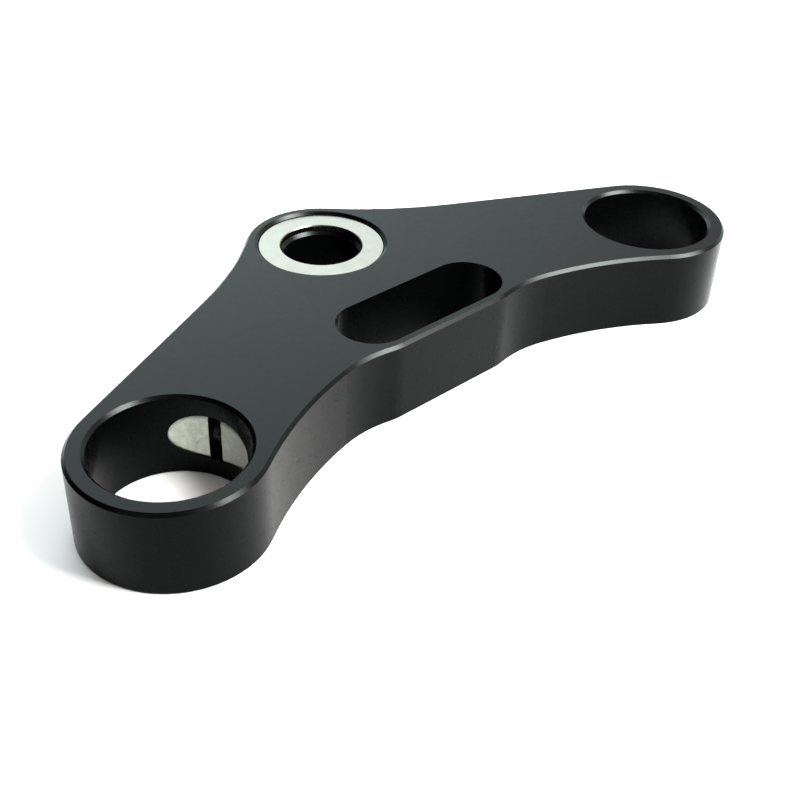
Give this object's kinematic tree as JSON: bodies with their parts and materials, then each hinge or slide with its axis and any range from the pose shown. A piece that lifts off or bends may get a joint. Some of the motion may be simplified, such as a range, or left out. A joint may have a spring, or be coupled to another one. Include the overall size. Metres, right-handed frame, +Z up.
{
  "type": "upper triple clamp",
  "caption": "Flat black motorcycle upper fork clamp with round fork bores gripped by split clamp barrels, a cable slot and a washer let in around the stem bore.",
  "frame": {"origin": "on the axis of the stem bore, at the plate's flat underside", "axes": "+Z up along the stem bore, +X along the row of fork bores, +Y to the rear of the motorcycle"},
  "size_m": [0.242, 0.106, 0.0255],
  "materials": {
    "black_anodised": "satin black anodised",
    "bright_steel": "bright plated",
    "zinc_steel": "dull zinc plated",
    "black_steel": "black oxide"
  },
  "bodies": {
    "clamp": {"clamp_body": "black_anodised", "stem_washer": "bright_steel"},
    "left_rear_barrel": {"left_rear_barrel": "zinc_steel"},
    "left_front_barrel": {"left_front_barrel": "zinc_steel"},
    "left_clamp_screw": {"left_clamp_screw": "black_steel"},
    "right_rear_barrel": {"right_rear_barrel": "zinc_steel"},
    "right_front_barrel": {"right_front_barrel": "zinc_steel"},
    "right_clamp_screw": {"right_clamp_screw": "black_steel"}
  },
  "joints": [
    {"name": "left_rear_barrel_slide", "type": "slide", "parent": "clamp", "child": "left_rear_barrel", "axis": [0.3939, -0.9191, 0], "range_m": [-0.001, 0.0015]},
    {"name": "left_front_barrel_slide", "type": "slide", "parent": "clamp", "child": "left_front_barrel", "axis": [-0.3939, 0.9191, 0], "range_m": [-0.001, 0.0015]},
    {"name": "left_screw_turn", "type": "hinge", "parent": "left_rear_barrel", "child": "left_clamp_screw", "pos_m": [-0.07248, -0.04635, 0.01275], "axis": [0.3939, -0.9191, 0], "range_deg": [-720, 1080]},
    {"name": "right_rear_barrel_slide", "type": "slide", "parent": "clamp", "child": "right_rear_barrel", "axis": [-0.3939, -0.9191, 0], "range_m": [-0.001, 0.0015]},
    {"name": "right_front_barrel_slide", "type": "slide", "parent": "clamp", "child": "right_front_barrel", "axis": [0.3939, 0.9191, 0], "range_m": [-0.001, 0.0015]},
    {"name": "right_screw_turn", "type": "hinge", "parent": "right_rear_barrel", "child": "right_clamp_screw", "pos_m": [0.07248, -0.04635, 0.01275], "axis": [-0.3939, -0.9191, 0], "range_deg": [-720, 1080]}
  ],
  "couplings": [
    {"joint": "left_screw_turn", "follows": "left_rear_barrel_slide", "rad_per_m": 12566},
    {"joint": "left_front_barrel_slide", "follows": "left_rear_barrel_slide", "ratio": 1},
    {"joint": "right_screw_turn", "follows": "right_rear_barrel_slide", "rad_per_m": 12566},
    {"joint": "right_front_barrel_slide", "follows": "right_rear_barrel_slide", "ratio": 1}
  ]
}
